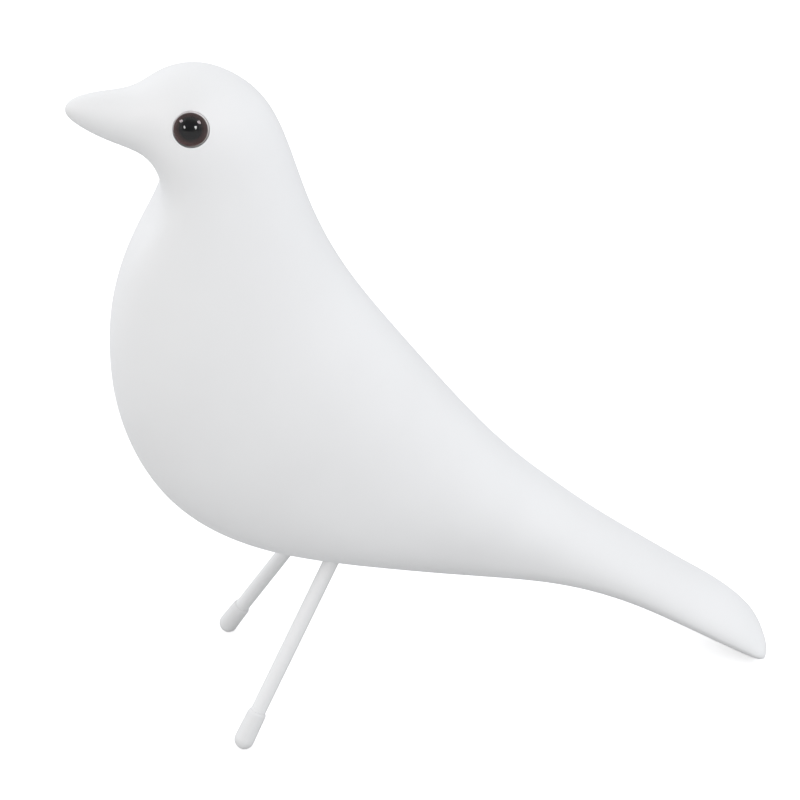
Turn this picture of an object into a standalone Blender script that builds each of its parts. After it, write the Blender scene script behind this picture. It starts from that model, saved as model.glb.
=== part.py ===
"""Dove statue: a smooth white bird on two wire legs, resting on its feet and tail.

Frame: +X is the bird's left side, the beak points along -Y and +Z is up. The
origin is the middle of the footprint, on the surface that the bird stands on.
All lengths are in metres.
"""

import math

import bmesh
import bpy
import numpy as np
from mathutils import Vector
from mathutils.bvhtree import BVHTree

MM = 0.001

# Body: the size of the box that it fills
LENGTH = 282 * MM
HEIGHT = 276 * MM
WIDTH = 86 * MM

# Fit between any two pieces
CLEARANCE = 0.3 * MM

# Eyes
EYE_ALONG = 0.1585
EYE_UP = 0.939
EYE_DIAMETER = 13.0 * MM
EYE_DOME = 3.6 * MM
EYE_SEAT = 4.0 * MM

# Legs: each runs from a hip inside the belly down to an ankle in its cap
LEG_DIAMETER = 6.3 * MM
HIP_ALONG = 0.352
HIP_UP = 0.308
HIP_SPREAD = 34 * MM
FOOT_ALONG = 0.184
FOOT_SPREAD = 86 * MM

# Foot caps
CAP_LENGTH = 17 * MM
CAP_MOUTH_DIAMETER = 7.8 * MM
CAP_END_DIAMETER = 8.3 * MM
CAP_LIP = 0.4 * MM
SOLE_CUT = 0.5 * MM

# Fineness of the meshes
RING_STEP = 7.5 * MM
TIP_RINGS = 4
HALF_AROUND = 22
TURNED_STEPS = 28
DOME_STEPS = 7

# Sections of the body, from beak to tail. Each lies in the plane through its top
# point and its bottom point, both given as shares of LENGTH from the beak tip and
# of HEIGHT from the ground. Then come the half width as a share of half of WIDTH,
# how far down the section is widest, and how full its upper and lower halves are,
# where 2 is an ellipse and more is squarer.
SECTIONS = [
    ("beak tip", (0.000, 0.946), (0.000, 0.946), 0.000, 0.50, 2.0, 2.0),
    ("beak end", (0.010, 0.961), (0.012, 0.929), 0.095, 0.50, 2.0, 2.0),
    ("beak middle", (0.054, 0.970), (0.055, 0.902), 0.213, 0.52, 2.0, 2.0),
    ("beak root", (0.094, 0.976), (0.096, 0.881), 0.338, 0.55, 2.0, 2.0),
    ("brow", (0.130, 0.994), (0.114, 0.852), 0.476, 0.56, 2.0, 2.0),
    ("crown", (0.181, 0.999), (0.115, 0.819), 0.585, 0.54, 2.0, 2.0),
    ("nape", (0.232, 0.976), (0.098, 0.785), 0.621, 0.54, 2.0, 2.0),
    ("neck", (0.268, 0.935), (0.071, 0.744), 0.649, 0.54, 2.0, 2.0),
    ("neck base", (0.295, 0.864), (0.043, 0.667), 0.727, 0.55, 2.0, 2.0),
    ("shoulder", (0.321, 0.782), (0.033, 0.572), 0.840, 0.56, 2.0, 2.0),
    ("upper back", (0.366, 0.688), (0.045, 0.471), 0.940, 0.56, 2.05, 2.05),
    ("breast", (0.438, 0.582), (0.098, 0.361), 0.999, 0.56, 2.1, 2.1),
    ("middle back", (0.520, 0.472), (0.200, 0.285), 0.969, 0.56, 2.15, 2.15),
    ("lower back", (0.600, 0.375), (0.334, 0.245), 0.870, 0.54, 2.3, 2.25),
    ("rump", (0.679, 0.300), (0.488, 0.2085), 0.724, 0.52, 2.3, 2.2),
    ("tail root", (0.754, 0.238), (0.637, 0.1765), 0.622, 0.555, 2.1, 2.1),
    ("upper tail", (0.827, 0.1835), (0.757, 0.129), 0.577, 0.60, 1.95, 1.95),
    ("middle tail", (0.892, 0.136), (0.842, 0.080), 0.572, 0.625, 1.85, 1.85),
    ("lower tail", (0.944, 0.0975), (0.905, 0.0405), 0.574, 0.63, 1.8, 1.8),
    ("tail corner", (0.982, 0.061), (0.953, 0.010), 0.552, 0.60, 1.75, 1.75),
    ("tail edge", (0.999, 0.032), (0.984, 0.000), 0.435, 0.54, 1.85, 1.8),
    ("tail tip", (0.998, 0.011), (0.998, 0.011), 0.000, 0.54, 2.0, 1.8),
]

# Worked out from the sizes above
LEG_RADIUS = LEG_DIAMETER / 2
EYE_RADIUS = EYE_DIAMETER / 2
CAP_RADIUS = CAP_END_DIAMETER / 2
SIDES = {"left": 1, "right": -1}


def clear_scene():
    for item in list(bpy.data.objects):
        bpy.data.objects.remove(item, do_unlink=True)
    for group in list(bpy.data.collections):
        bpy.data.collections.remove(group)


def new_collection(name):
    group = bpy.data.collections.new(name)
    bpy.context.scene.collection.children.link(group)
    return group


def finish(name, colour, roughness, metallic=0.0):
    """A plain material in the piece's colour."""
    material = bpy.data.materials.new(name)
    material.use_nodes = True
    shader = material.node_tree.nodes["Principled BSDF"]
    shader.inputs["Base Color"].default_value = (*colour, 1)
    shader.inputs["Roughness"].default_value = roughness
    shader.inputs["Metallic"].default_value = metallic
    material.diffuse_color = (*colour, 1)
    return material


def add_object(name, data, group, material=None, parent=None):
    item = bpy.data.objects.new(name, data)
    group.objects.link(item)
    if material:
        data.materials.append(material)
    if parent:
        item.parent = parent
    return item


def closed_curve(knots, period, values, at):
    """Read a smooth closed cubic spline through values, one per knot, at each place in at."""
    count = len(knots)
    gaps = np.append(np.diff(knots), knots[0] + period - knots[-1])
    matrix = np.zeros((count, count))
    right = np.zeros(values.shape)
    for i in range(count):
        before, after, following = gaps[i - 1], gaps[i], (i + 1) % count
        matrix[i, i - 1] += before
        matrix[i, i] += 2 * (before + after)
        matrix[i, following] += after
        slope_after = (values[following] - values[i]) / after
        slope_before = (values[i] - values[i - 1]) / before
        right[i] = 6 * (slope_after - slope_before)
    bend = np.linalg.solve(matrix, right)
    at = np.mod(at, period)
    i = np.searchsorted(knots, at, side="right") - 1
    j = (i + 1) % count
    gap = gaps[i][:, None]
    ahead = (at - knots[i])[:, None]
    behind = gap - ahead
    curved = (bend[i] * behind**3 + bend[j] * ahead**3) / (6 * gap)
    straight_i = (values[i] / gap - bend[i] * gap / 6) * behind
    straight_j = (values[j] / gap - bend[j] * gap / 6) * ahead
    return curved + straight_i + straight_j


def ring_places(knots, lengths):
    """Places of the rings along the body, close together at the rounded ends."""
    places = [knots[0]]
    for i, length in enumerate(lengths):
        from_end = min(i, len(lengths) - 1 - i)
        rings = max(TIP_RINGS - from_end, round(length / RING_STEP), 1)
        places.extend(np.linspace(knots[i], knots[i + 1], rings + 1)[1:])
    return np.array(places)


def body_points():
    """Rings of points over the left half of the body, top to bottom, filling its box."""
    tops = np.array([section[1] for section in SECTIONS]) * (LENGTH, HEIGHT)
    bottoms = np.array([section[2] for section in SECTIONS]) * (LENGTH, HEIGHT)
    halves = np.array([section[3] for section in SECTIONS]) * WIDTH / 2
    forms = np.array([section[4:] for section in SECTIONS])
    lengths = np.linalg.norm(np.diff(tops, axis=0), axis=1)
    lengths = (lengths + np.linalg.norm(np.diff(bottoms, axis=0), axis=1)) / 2
    knots = np.append(0, np.cumsum(np.sqrt(lengths)))
    period = 2 * knots[-1]

    # One closed outline: out along the top, back along the bottom
    outline_knots = np.append(knots, period - knots[-2:0:-1])
    upper = np.column_stack([tops, halves])
    lower = np.column_stack([bottoms, -halves])[-2:0:-1]
    outline = np.vstack([upper, lower])
    places = ring_places(knots, lengths)
    top = closed_curve(outline_knots, period, outline, places)
    bottom = closed_curve(outline_knots, period, outline, period - places)
    widest, upper_form, lower_form = (np.interp(places, knots, form)[:, None] for form in forms.T)

    turn = np.linspace(0, math.pi, HALF_AROUND + 1)[None]
    power = 2 / np.where(np.cos(turn) >= 0, upper_form, lower_form)
    reach = np.abs(np.cos(turn)) ** power
    down = np.where(np.cos(turn) >= 0, widest * (1 - reach), widest + (1 - widest) * reach)
    sideways = top[:, 2:] * np.abs(np.sin(turn)) ** power
    sideways[:, [0, -1]] = 0
    in_plane = top[:, None, :2] + (bottom - top)[:, None, :2] * down[:, :, None]
    points = np.concatenate([sideways[:, :, None], in_plane], axis=2)

    low = points.min(axis=(0, 1))
    high = points.max(axis=(0, 1))
    points = (points - low) / (high - low) * (WIDTH / 2, LENGTH, HEIGHT)
    return points - (0, LENGTH / 2, 0)


def body_half():
    """Vertices and faces of the left half, with one vertex at each tip."""
    points = body_points()
    rings, around = points.shape[:2]
    inner = points[1:-1].reshape(-1, 3)
    verts = [Vector(point) for point in (points[0, 0], *inner, points[-1, 0])]
    last = len(verts) - 1

    def index(ring, place):
        return 1 + (ring - 1) * around + place

    faces = []
    for place in range(around - 1):
        faces.append((0, index(1, place + 1), index(1, place)))
        faces.append((last, index(rings - 2, place), index(rings - 2, place + 1)))
        for ring in range(1, rings - 2):
            faces.append((index(ring, place), index(ring, place + 1),
                          index(ring + 1, place + 1), index(ring + 1, place)))
    return verts, faces


def on_body(along, up):
    """A point in the body's side plane, from its shares of LENGTH and HEIGHT."""
    return Vector((0, (along - 0.5) * LENGTH, up * HEIGHT))


def mirrored(point, side):
    return Vector((point.x * SIDES[side], point.y, point.z))


def eye_seat(verts, faces):
    """Centre and outward axis of the left eye, on the rim where it meets the head."""
    tree = BVHTree.FromPolygons(verts, faces)

    def surface(y, z):
        return tree.ray_cast(Vector((WIDTH, y, z)), Vector((-1, 0, 0)))[0]

    middle = on_body(EYE_ALONG, EYE_UP)
    front = surface(middle.y - EYE_RADIUS, middle.z)
    back = surface(middle.y + EYE_RADIUS, middle.z)
    under = surface(middle.y, middle.z - EYE_RADIUS)
    over = surface(middle.y, middle.z + EYE_RADIUS)
    centre = (front + back + under + over) / 4
    return centre, (back - front).cross(over - under).normalized()


def leg_line(side):
    """Ankle and hip of one leg, both on its axis."""
    ankle = on_body(FOOT_ALONG, 0) + Vector((FOOT_SPREAD / 2, 0, CAP_RADIUS - SOLE_CUT))
    hip = on_body(HIP_ALONG, HIP_UP) + Vector((HIP_SPREAD / 2, 0, 0))
    return mirrored(ankle, side), mirrored(hip, side)


def point_along(item, start, axis):
    """Put an object at start with its own Z along axis."""
    item.location = start
    item.rotation_mode = "QUATERNION"
    item.rotation_quaternion = Vector((0, 0, 1)).rotation_difference(axis)


def cylinder_cutter(name, radius, start, end, group):
    """A cylinder from start to end that is only there to cut."""
    axis = end - start
    bm = bmesh.new()
    bmesh.ops.create_cone(bm, cap_ends=True, segments=TURNED_STEPS, radius1=radius,
                          radius2=radius, depth=axis.length)
    bmesh.ops.translate(bm, verts=bm.verts, vec=(0, 0, axis.length / 2))
    return add_cutter(name, bm, start, axis, group)


def box_cutter(name, size, top_centre, group):
    """A cube that hangs below top_centre and is only there to cut."""
    bm = bmesh.new()
    bmesh.ops.create_cube(bm, size=size)
    bmesh.ops.translate(bm, verts=bm.verts, vec=(0, 0, -size / 2))
    return add_cutter(name, bm, top_centre, Vector((0, 0, 1)), group)


def add_cutter(name, bm, start, axis, group):
    mesh = bpy.data.meshes.new(name)
    bm.to_mesh(mesh)
    bm.free()
    cutter = add_object(name, mesh, group)
    point_along(cutter, start, axis.normalized())
    cutter.hide_render = True
    cutter.display_type = "WIRE"
    return cutter


def cut(item, cutter):
    boolean = item.modifiers.new(cutter.name, "BOOLEAN")
    boolean.operation = "DIFFERENCE"
    boolean.solver = "EXACT"
    boolean.object = cutter


def turned(name, profile, group, material, parent):
    """Turn a profile of (radius, height) points, outer side running downwards, about Z."""
    mesh = bpy.data.meshes.new(name)
    edges = [(i, i + 1) for i in range(len(profile) - 1)]
    mesh.from_pydata([(radius, 0, height) for radius, height in profile], edges, [])
    item = add_object(name, mesh, group, material, parent)
    screw = item.modifiers.new("turn", "SCREW")
    screw.axis = "Z"
    screw.steps = TURNED_STEPS
    screw.render_steps = TURNED_STEPS
    screw.use_merge_vertices = True
    screw.merge_threshold = 0.00001
    screw.use_smooth_shade = True
    return item


def arc(radius, height, base, start, end):
    """Points of an elliptical quarter about the axis, from angle start to angle end."""
    angles = np.linspace(start, end, DOME_STEPS)
    return [(radius * abs(math.cos(angle)), base + height * math.sin(angle)) for angle in angles]


def add_body(verts, faces, group, material, parent):
    mesh = bpy.data.meshes.new("body")
    mesh.from_pydata(verts, [], faces)
    mesh.shade_smooth()
    body = add_object("body", mesh, group, material, parent)
    mirror = body.modifiers.new("other side", "MIRROR")
    mirror.merge_threshold = 0.00001
    return body


def add_leg(side, group, material, parent):
    """A straight wire from just inside its cap to the hip."""
    ankle, hip = leg_line(side)
    axis = (hip - ankle).normalized()
    curve = bpy.data.curves.new(f"leg_{side}", "CURVE")
    curve.dimensions = "3D"
    curve.bevel_depth = LEG_RADIUS
    curve.bevel_resolution = TURNED_STEPS // 2 - 2
    curve.use_fill_caps = True
    spline = curve.splines.new("POLY")
    spline.points.add(1)
    spline.points[0].co = (*(ankle + axis * CLEARANCE), 1)
    spline.points[1].co = (*hip, 1)
    add_object(f"leg_{side}", curve, group, material, parent)


def cut_leg_hole(body, side, cutters):
    """A blind hole from well below the belly up to the end of the leg."""
    ankle, hip = leg_line(side)
    end = hip + (hip - ankle).normalized() * CLEARANCE
    start = (ankle + hip) / 2
    cut(body, cylinder_cutter(f"leg_hole_{side}", LEG_RADIUS + CLEARANCE, start, end, cutters))


def add_foot_cap(side, group, cutters, material, parent):
    """A slip-on cap with a blind bore for the leg, a round end and a small flat sole."""
    ankle, hip = leg_line(side)
    bore = LEG_RADIUS + CLEARANCE
    mouth = CAP_MOUTH_DIAMETER / 2
    top = CAP_LENGTH - CAP_RADIUS
    profile = [(0, 0), (bore, 0), (bore, top), (mouth - CAP_LIP / 2, top), (mouth, top - CAP_LIP)]
    profile += arc(CAP_RADIUS, CAP_RADIUS, 0, 0, -math.pi / 2)
    profile[-1] = (0, -CAP_RADIUS)
    cap = turned(f"foot_cap_{side}", profile, group, material, parent)
    point_along(cap, ankle, (hip - ankle).normalized())
    under = Vector((ankle.x, ankle.y, 0))
    cut(cap, box_cutter(f"floor_{side}", 3 * CAP_END_DIAMETER, under, cutters))


def add_eye(side, seat, group, material, parent):
    """A domed glass eye with a flat back."""
    centre, axis = seat
    profile = arc(EYE_RADIUS, EYE_DOME, 0, math.pi / 2, 0)
    profile[0] = (0, EYE_DOME)
    profile += [(EYE_RADIUS, -EYE_SEAT), (0, -EYE_SEAT)]
    eye = turned(f"eye_{side}", profile, group, material, parent)
    point_along(eye, mirrored(centre, side), mirrored(axis, side))


def cut_eye_socket(body, side, seat, cutters):
    """A round socket that leaves the clearance around and behind the eye."""
    centre, axis = (mirrored(vector, side) for vector in seat)
    start = centre - axis * (EYE_SEAT + CLEARANCE)
    end = centre + axis * EYE_RADIUS
    cut(body, cylinder_cutter(f"socket_{side}", EYE_RADIUS + CLEARANCE, start, end, cutters))


def main():
    clear_scene()
    group = new_collection("dove_statue")
    cutters = new_collection("cutters")
    white_body = finish("white_matt_body", (0.86, 0.87, 0.88), 0.55)
    white_wire = finish("white_coated_wire", (0.84, 0.85, 0.86), 0.45)
    white_cap = finish("white_soft_cap", (0.84, 0.84, 0.84), 0.5)
    eye_glass = finish("dark_eye_glass", (0.03, 0.02, 0.02), 0.05)
    parent = bpy.data.objects.new("dove_statue", None)
    group.objects.link(parent)

    verts, faces = body_half()
    seat = eye_seat(verts, faces)
    body = add_body(verts, faces, group, white_body, parent)
    for side in SIDES:
        add_leg(side, group, white_wire, parent)
        cut_leg_hole(body, side, cutters)
        add_foot_cap(side, group, cutters, white_cap, parent)
        add_eye(side, seat, group, eye_glass, parent)
        cut_eye_socket(body, side, seat, cutters)


main()
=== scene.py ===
"""Dove statue: the finished looks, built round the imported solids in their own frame.

All lengths are in metres. +X is the bird's left side, the beak points along -Y, +Z is
up, and the bird stands on the floor at height 0.
"""

import math

import bmesh
import bpy
import numpy as np
from bpy.props import FloatProperty, FloatVectorProperty, IntProperty, PointerProperty
from mathutils import Matrix, Vector


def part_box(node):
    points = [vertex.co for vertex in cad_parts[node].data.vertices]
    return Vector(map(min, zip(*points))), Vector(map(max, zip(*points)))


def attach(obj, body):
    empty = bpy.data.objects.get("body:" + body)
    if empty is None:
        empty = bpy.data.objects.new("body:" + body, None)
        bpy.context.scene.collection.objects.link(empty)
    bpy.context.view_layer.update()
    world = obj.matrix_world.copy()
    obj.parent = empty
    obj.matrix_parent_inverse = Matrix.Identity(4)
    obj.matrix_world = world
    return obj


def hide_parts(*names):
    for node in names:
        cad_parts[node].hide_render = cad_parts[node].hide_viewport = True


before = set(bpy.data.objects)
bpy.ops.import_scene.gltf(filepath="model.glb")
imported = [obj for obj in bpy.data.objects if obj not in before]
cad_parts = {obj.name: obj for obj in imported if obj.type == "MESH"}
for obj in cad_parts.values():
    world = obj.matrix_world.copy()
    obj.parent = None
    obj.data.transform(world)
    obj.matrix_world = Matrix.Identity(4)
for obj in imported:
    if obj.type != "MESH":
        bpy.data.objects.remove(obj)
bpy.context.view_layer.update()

bl_info = {
    "name": "Dove Statue",
    "version": (1, 0, 0),
    "blender": (4, 5, 0),
    "location": "3D View > Sidebar > Dove",
    "description": "Builds a white dove statue on two wire legs, and its small studio",
    "category": "Object",
}

MM = 0.001
SIDES = {"left": 1, "right": -1}

# Gaps between the body and what is pressed into it, and under the ends of both
HOLE_GAP = 0.12 * MM
SOCKET_GAP = 0.18 * MM
END_GAP = 0.3 * MM

# Points closer than this are one point of a skin
MERGE_DISTANCE = 0.000003

# Where the left eye is, for the lights that glint in it and the card that it mirrors
HEAD = (0.02, -0.096, 0.26)
SOFT_LIGHT_TARGET = (0, 0, 0.14)
SOFT_LIGHT_DISTANCE = 1.5
SOFT_LIGHT_SIZE = (1.35, 1.35)
GLINT_DISTANCE = 1.2
CARD_DISTANCE = 1.3
CARD_DROP = 0.55
CARD_CORNERS = 48

# Sections of the body, from beak to tail, as in the part's source. Each has its top
# point and bottom point as shares of the body's length and height, its half width as a
# share of the body's, how far down it is widest, and how full its two halves are.
SECTIONS = [
    ("beak tip", (0.000, 0.946), (0.000, 0.946), 0.000, 0.50, 2.0, 2.0),
    ("beak end", (0.010, 0.961), (0.012, 0.929), 0.095, 0.50, 2.0, 2.0),
    ("beak middle", (0.054, 0.970), (0.055, 0.902), 0.213, 0.52, 2.0, 2.0),
    ("beak root", (0.094, 0.976), (0.096, 0.881), 0.338, 0.55, 2.0, 2.0),
    ("brow", (0.130, 0.994), (0.114, 0.852), 0.476, 0.56, 2.0, 2.0),
    ("crown", (0.181, 0.999), (0.115, 0.819), 0.585, 0.54, 2.0, 2.0),
    ("nape", (0.232, 0.976), (0.098, 0.785), 0.621, 0.54, 2.0, 2.0),
    ("neck", (0.268, 0.935), (0.071, 0.744), 0.649, 0.54, 2.0, 2.0),
    ("neck base", (0.295, 0.864), (0.043, 0.667), 0.727, 0.55, 2.0, 2.0),
    ("shoulder", (0.321, 0.782), (0.033, 0.572), 0.840, 0.56, 2.0, 2.0),
    ("upper back", (0.366, 0.688), (0.045, 0.471), 0.940, 0.56, 2.05, 2.05),
    ("breast", (0.438, 0.582), (0.098, 0.361), 0.999, 0.56, 2.1, 2.1),
    ("middle back", (0.520, 0.472), (0.200, 0.285), 0.969, 0.56, 2.15, 2.15),
    ("lower back", (0.600, 0.375), (0.334, 0.245), 0.870, 0.54, 2.3, 2.25),
    ("rump", (0.679, 0.300), (0.488, 0.2085), 0.724, 0.52, 2.3, 2.2),
    ("tail root", (0.754, 0.238), (0.637, 0.1765), 0.622, 0.555, 2.1, 2.1),
    ("upper tail", (0.827, 0.1835), (0.757, 0.129), 0.577, 0.60, 1.95, 1.95),
    ("middle tail", (0.892, 0.136), (0.842, 0.080), 0.572, 0.625, 1.85, 1.85),
    ("lower tail", (0.944, 0.0975), (0.905, 0.0405), 0.574, 0.63, 1.8, 1.8),
    ("tail corner", (0.982, 0.061), (0.953, 0.010), 0.552, 0.60, 1.75, 1.75),
    ("tail edge", (0.999, 0.032), (0.984, 0.000), 0.435, 0.54, 1.85, 1.8),
    ("tail tip", (0.998, 0.011), (0.998, 0.011), 0.000, 0.54, 2.0, 1.8),
]


def setting_kind(make, **fixed):
    """A short call for settings of one kind: name, description, default and limits."""
    def define(name, description, default, *limits):
        return make(name=name, description=description, default=default,
                    **dict(zip(("min", "max"), limits)), **fixed)
    return define


length_setting = setting_kind(FloatProperty, subtype="DISTANCE", unit="LENGTH")
lens_setting = setting_kind(FloatProperty, subtype="DISTANCE_CAMERA")
angle_setting = setting_kind(FloatProperty, subtype="ANGLE", unit="ROTATION")
share_setting = setting_kind(FloatProperty, subtype="FACTOR")
strength_setting = setting_kind(FloatProperty)
power_setting = setting_kind(FloatProperty, min=0, max=100, unit="POWER")
count_setting = setting_kind(IntProperty)
colour_setting = setting_kind(FloatVectorProperty, size=3, min=0, max=1, subtype="COLOR")
place_setting = setting_kind(FloatVectorProperty, size=3, subtype="XYZ", unit="LENGTH")


class DoveBodySettings(bpy.types.PropertyGroup):
    ring_step: length_setting(
        "Ring Step", "Distance between two rings of the body's mesh", 2.2 * MM, 1 * MM, 12 * MM)
    tip_rings: count_setting(
        "Tip Rings", "Least number of rings in the section at each rounded end", 14, 3, 30)
    around: count_setting("Points Around", "Points round each ring of the body", 128, 24, 256)
    colour: colour_setting("Colour", "White of the matt coat", (0.800, 0.801, 0.802))
    shade_colour: colour_setting(
        "Drift Colour", "White that the coat drifts to in wide soft patches",
        (0.780, 0.780, 0.781))
    grain_size: length_setting(
        "Grain Size", "Width of the finest bumps in the coat", 0.7 * MM, 0.1 * MM, 5 * MM)


class DoveLegSettings(bpy.types.PropertyGroup):
    wire_diameter: length_setting(
        "Wire Diameter", "Diameter of the coated wire", 6.3 * MM, 2 * MM, 12 * MM)
    hip: place_setting(
        "Hip", "Upper end of the left wire, inside the belly", (17.0 * MM, -41.7 * MM, 85.0 * MM))
    ankle: place_setting(
        "Ankle", "Lower end of the left wire, inside its cap", (43.0 * MM, -89.1 * MM, 3.65 * MM))
    cap_length: length_setting(
        "Cap Length", "Length of a foot cap from its mouth to its round end",
        17.0 * MM, 5 * MM, 40 * MM)
    cap_mouth: length_setting(
        "Cap Mouth Diameter", "Outside diameter of a cap at its mouth", 7.8 * MM, 3 * MM, 20 * MM)
    cap_end: length_setting(
        "Cap End Diameter", "Outside diameter of a cap at its round end",
        8.27 * MM, 3 * MM, 20 * MM)
    wire_colour: colour_setting("Wire Colour", "White of the coated wire", (0.785, 0.786, 0.787))
    cap_colour: colour_setting("Cap Colour", "White of the soft caps", (0.745, 0.745, 0.746))


class DoveEyeSettings(bpy.types.PropertyGroup):
    diameter: length_setting(
        "Diameter", "Diameter of the whole eye with its bed of filler", 13.0 * MM, 4 * MM, 25 * MM)
    dome: length_setting(
        "Dome Height", "Height of the glass dome over its rim", 3.6 * MM, 1 * MM, 10 * MM)
    seat: length_setting("Seat Depth", "Depth of the eye below its rim", 4.0 * MM, 1 * MM, 10 * MM)
    glass_diameter: length_setting(
        "Glass Diameter", "Diameter of the glass inside its bed of filler",
        12.6 * MM, 2 * MM, 25 * MM)
    glass_rise: length_setting(
        "Glass Rise", "How far the glass sits above the middle of its bed", 0.15 * MM, 0, 3 * MM)
    glass_shift: length_setting(
        "Glass Shift", "How far the glass sits towards the beak in its bed", 0.2 * MM, 0, 3 * MM)
    glass_tilt: angle_setting(
        "Glass Tilt", "How much more level than its socket the glass looks out",
        math.radians(20), 0, math.radians(30))
    pupil_share: share_setting(
        "Pupil", "Radius of the pupil as a share of the iris", 0.59, 0.1, 0.9)
    iris_colour: colour_setting("Iris Colour", "Main colour of the iris", (0.070, 0.034, 0.031))


class DoveStageSettings(bpy.types.PropertyGroup):
    floor_size: length_setting("Floor Size", "Width of the square floor", 12.0, 1, 40)
    floor_colour: colour_setting("Floor Colour", "Pale colour of the floor", (0.93, 0.93, 0.93))
    floor_bounce: share_setting(
        "Floor Bounce", "Share of its light that the floor sends back to the bird", 0.56, 0, 1)
    floor_glow: strength_setting(
        "Floor Glow", "Light of the floor's own that thins its shadows", 0.45, 0, 1)
    sky_strength: strength_setting(
        "Surrounding Light", "Strength of the even white light from all round", 0.72, 0, 5)
    card_size: length_setting(
        "Dark Card", "Width of the dark card that the middle of each eye mirrors", 2.3, 0.1, 5)
    camera_power: power_setting(
        "Camera Side Light", "Power of the large soft light over the camera", 4.4)
    beak_power: power_setting("Beak Light", "Power of the large soft light before the beak", 3.6)
    front_power: power_setting(
        "Front Light", "Power of the large soft light on the far side of the beak", 7.7)
    tail_power: power_setting("Tail Light", "Power of the large soft light behind the tail", 5.2)
    back_power: power_setting(
        "Back Light", "Power of the large soft light over the bird's back", 3.6)
    glint_power: power_setting(
        "Glint Lights", "Power of the left glint light. The right one has 1.2 times as much", 1.9)
    faint_glint_power: power_setting(
        "Faint Glint Lights", "Power of each of the two dimmer lights in the eye", 4.5)
    lens: lens_setting("Lens", "Focal length of the camera", 93.58 * MM, 20 * MM, 300 * MM)
    camera_turn: angle_setting(
        "Camera Turn", "Angle of the camera from straight beside the bird", math.radians(8.30))
    camera_height_angle: angle_setting(
        "Camera Height Angle", "Angle from which the camera looks down", math.radians(27.66))
    camera_distance: length_setting(
        "Camera Distance", "Distance of the camera from its target", 835.6 * MM, 0.2, 5)
    camera_target: place_setting(
        "Camera Target", "Point that the camera looks at", (0, -17.85 * MM, 131.61 * MM))
    camera_roll: angle_setting(
        "Camera Roll", "Turn of the camera about its own line of sight", math.radians(0.35))


def new_object(name, data):
    """Put new data in the scene as an object at the origin."""
    item = bpy.data.objects.new(name, data)
    bpy.context.scene.collection.objects.link(item)
    return item


def feed(node, inputs):
    """Link or set inputs of a node, by name or place."""
    for key, value in inputs.items():
        if isinstance(value, bpy.types.NodeSocket):
            node.id_data.links.new(value, node.inputs[key])
        else:
            node.inputs[key].default_value = value
    return node


def add_node(tree, kind, inputs=None, **settings):
    """Add a node, set its properties, and link or set its inputs."""
    node = tree.nodes.new(kind)
    for name, value in settings.items():
        setattr(node, name, value)
    return feed(node, inputs or {})


def arithmetic(tree, operation, *values):
    inputs = dict(enumerate(values))
    return add_node(tree, "ShaderNodeMath", inputs, operation=operation).outputs[0]


def vector_arithmetic(tree, operation, *values):
    inputs = dict(enumerate(values))
    return add_node(tree, "ShaderNodeVectorMath", inputs, operation=operation).outputs[0]


def blend_between(tree, kind, factor, low, high):
    """Mix two floats, vectors or colours by a factor."""
    node = tree.nodes.new("ShaderNodeMix")
    node.data_type = kind
    tree.links.new(factor, node.inputs[0])
    first, result = {"FLOAT": (2, 0), "VECTOR": (4, 1), "RGBA": (6, 2)}[kind]
    for place, value in ((first, low), (first + 1, high)):
        if isinstance(value, bpy.types.NodeSocket):
            tree.links.new(value, node.inputs[place])
        elif kind == "RGBA":
            node.inputs[place].default_value = (*value, 1)
        else:
            node.inputs[place].default_value = value
    return node.outputs[result]


def new_shape_tree(name, sockets):
    """A Geometry Nodes tree with a geometry in and out, and the given named inputs."""
    tree = bpy.data.node_groups.new(name, "GeometryNodeTree")
    tree.interface.new_socket("Geometry", in_out="INPUT", socket_type="NodeSocketGeometry")
    tree.interface.new_socket("Geometry", in_out="OUTPUT", socket_type="NodeSocketGeometry")
    for label, kind, default in sockets:
        socket = tree.interface.new_socket(label, in_out="INPUT", socket_type=f"NodeSocket{kind}")
        if default is not None:
            socket.default_value = default
    start = tree.nodes.new("NodeGroupInput")
    return tree, start.outputs


def close_shape_tree(tree, geometry, material):
    """Smooth the result, make it real, give it its material and send it out."""
    smooth = add_node(tree, "GeometryNodeSetShadeSmooth", {"Geometry": geometry})
    real = add_node(tree, "GeometryNodeRealizeInstances", {"Geometry": smooth.outputs[0]})
    painted = add_node(tree, "GeometryNodeSetMaterial",
                       {"Geometry": real.outputs[0], "Material": material})
    end = tree.nodes.new("NodeGroupOutput")
    tree.links.new(painted.outputs[0], end.inputs["Geometry"])
    return tree


def read_along(tree, geometry, kind, value, index):
    """Read a value of the input's points at the given index."""
    return add_node(tree, "GeometryNodeSampleIndex",
                    {"Geometry": geometry, "Value": value, "Index": index},
                    data_type=kind, domain="POINT").outputs[0]


def stored(tree, name, kind):
    node = add_node(tree, "GeometryNodeInputNamedAttribute", {"Name": name}, data_type=kind)
    return node.outputs["Attribute"]


def sheet_of_points(tree, geometry, around):
    """A grid with one row of points for each input point, and the row and turn of each."""
    count = add_node(tree, "GeometryNodeAttributeDomainSize", {"Geometry": geometry})
    columns = arithmetic(tree, "ADD", around, 1.0)
    grid = add_node(tree, "GeometryNodeMeshGrid",
                    {"Vertices X": count.outputs["Point Count"], "Vertices Y": columns})
    index = tree.nodes.new("GeometryNodeInputIndex").outputs[0]
    row = arithmetic(tree, "FLOOR", arithmetic(tree, "DIVIDE", index, columns))
    column = arithmetic(tree, "MODULO", index, columns)
    share = arithmetic(tree, "DIVIDE", arithmetic(tree, "MODULO", column, around), around)
    turn = arithmetic(tree, "MULTIPLY", share, 2 * math.pi)
    return grid.outputs["Mesh"], row, turn


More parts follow.
